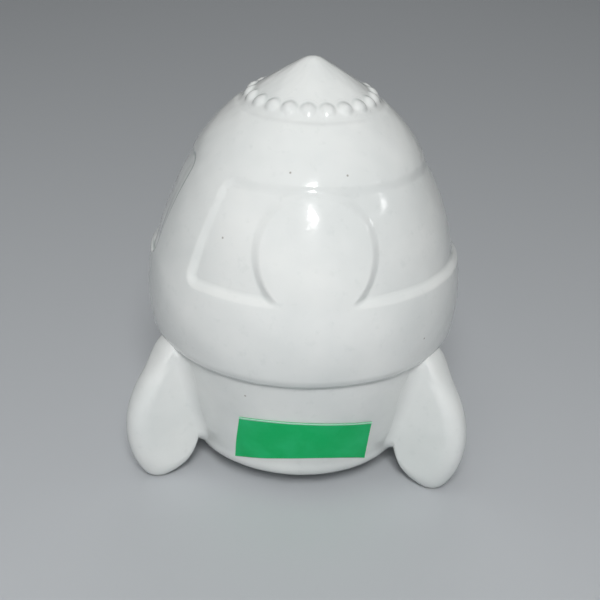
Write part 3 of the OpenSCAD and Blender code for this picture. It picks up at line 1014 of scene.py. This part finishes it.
# the label
labelShape = {
    # azimuth and height of the left end, middle and right end of its top and bottom edges
    "topEdge": ((-24.9, 23.6), (3.4, 24.9), (33.7, 22.4)),
    "lowEdge": ((-30.8, 9.4), (6.1, 12.7), (36.6, 9.4)),
    "thick": 0.16 * mm,
    "lift": 0.25 * mm,             # how far the top edge has come loose
    "wave": 0.03 * mm,
    "cut": 0.945,                  # the pale cut edge and its painted highlight start at this share of the height
}
across = np.linspace(0, 1, 90)
up = np.concatenate([np.linspace(0, 0.93, 36), np.linspace(0.94, 1, 13)])[:, None]


def labelEdge(points):
    # azimuths and heights along the parabola through an edge's three points
    low, middle, high = np.array(points) * [math.pi / 180, mm]
    t = across[:, None]
    return ((1 - t) * (1 - 2 * t) * low + 4 * t * (1 - t) * middle + t * (2 * t - 1) * high).T


topA, topZ = labelEdge(labelShape["topEdge"])
lowA, lowZ = labelEdge(labelShape["lowEdge"])
labelA = lowA + (topA - lowA) * up
labelS = distanceAt(lowZ + (topZ - lowZ) * up)
curl = labelShape["lift"] * smooth((up - 0.93) / 0.07) + labelShape["wave"] * np.sin(9 * across + 4 * up)
outer = surfacePoint(labelS, labelA, labelShape["thick"] + curl)
inner = surfacePoint(labelS, labelA, 0.02 * mm + curl * 0.6 - 0.05 * mm)
# the strip of painted highlight and paler cut paper along the top edge
cutEdge = smooth((up - labelShape["cut"]) / 0.02) * np.ones_like(across)
shell = slabShell(outer, inner, pool=cutEdge)
makePiece("priceLabel", ["price_label"], "rocket", [shell], paper)

# stage, lights and camera
floorLook = {"size": 8.0, "color": (0.50, 0.52, 0.54)}
floorMesh = bpy.data.meshes.new("floor")
half = floorLook["size"] / 2
corners = [(-half, -half, 0), (half, -half, 0), (half, half, 0), (-half, half, 0)]
floorMesh.from_pydata(corners, [], [(0, 1, 2, 3)])
floor = bpy.data.objects.new("floor", floorMesh)
bpy.context.scene.collection.objects.link(floor)
floorMaterial, tree, shader = newMaterial("floorPaint")
shader.inputs["Base Color"].default_value = (*floorLook["color"], 1.0)
shader.inputs["Roughness"].default_value = 0.8
floorMesh.materials.append(floorMaterial)

world = bpy.data.worlds.new("studio")
world.use_nodes = True
background = world.node_tree.nodes["Background"]
background.inputs[0].default_value = (0.88, 0.91, 0.92, 1.0)
background.inputs[1].default_value = 0.12
bpy.context.scene.world = world

# azimuth, elevation, distance, size and power. The wide lights only light the glaze and aren't mirrored in
# it; the two small ones are only seen as highlights.
wideLights = {
    "key": (1, 40, 0.75, 0.26, 4.35),
    "overhead": (-25, 70, 0.9, 0.50, 1.15),
    "backFill": (178, 40, 1.1, 0.50, 1.3),
}
highlights = {
    "glint": (5, 34, 0.40, 0.022, 0.25),
    "sideGlint": (72, 26, 0.9, 0.09, 0.15),
}
lightAim = Vector((0.0, 0.0, 0.055))


def areaLight(name, azimuth, elevation, distance, size, power):
    data = bpy.data.lights.new(name, "AREA")
    data.shape = "DISK"
    data.size = size
    data.energy = power
    light = bpy.data.objects.new(name, data)
    bpy.context.scene.collection.objects.link(light)
    x, y = direction(math.radians(azimuth))
    away, rise = distance * math.cos(math.radians(elevation)), distance * math.sin(math.radians(elevation))
    light.location = (away * x, away * y, 0.06 + rise)
    light.rotation_euler = (lightAim - light.location).to_track_quat("-Z", "Y").to_euler()
    return light


for name, settings in wideLights.items():
    areaLight(name, *settings).visible_glossy = False
for name, settings in highlights.items():
    areaLight(name, *settings).visible_diffuse = False

view = {
    "place": (0.0, -0.25367, 0.16445),
    "aim": (-0.0006, 0.0, 0.04086),
    "roll": 2.564,
    "lens": 66.33,
}
cameraData = bpy.data.cameras.new("camera")
cameraData.lens = view["lens"]
cameraData.sensor_width = 36.0
cameraData.clip_start = 0.01
camera = bpy.data.objects.new("camera", cameraData)
bpy.context.scene.collection.objects.link(camera)
forward = (Vector(view["aim"]) - Vector(view["place"])).normalized()
turned = forward.to_track_quat("-Z", "Y").to_matrix().to_4x4()
roll = Matrix.Rotation(math.radians(view["roll"]), 4, "Z")
camera.matrix_world = Matrix.Translation(view["place"]) @ turned @ roll
bpy.context.scene.camera = camera
bpy.context.scene.view_settings.view_transform = "Standard"
print("stage, lights and camera made")
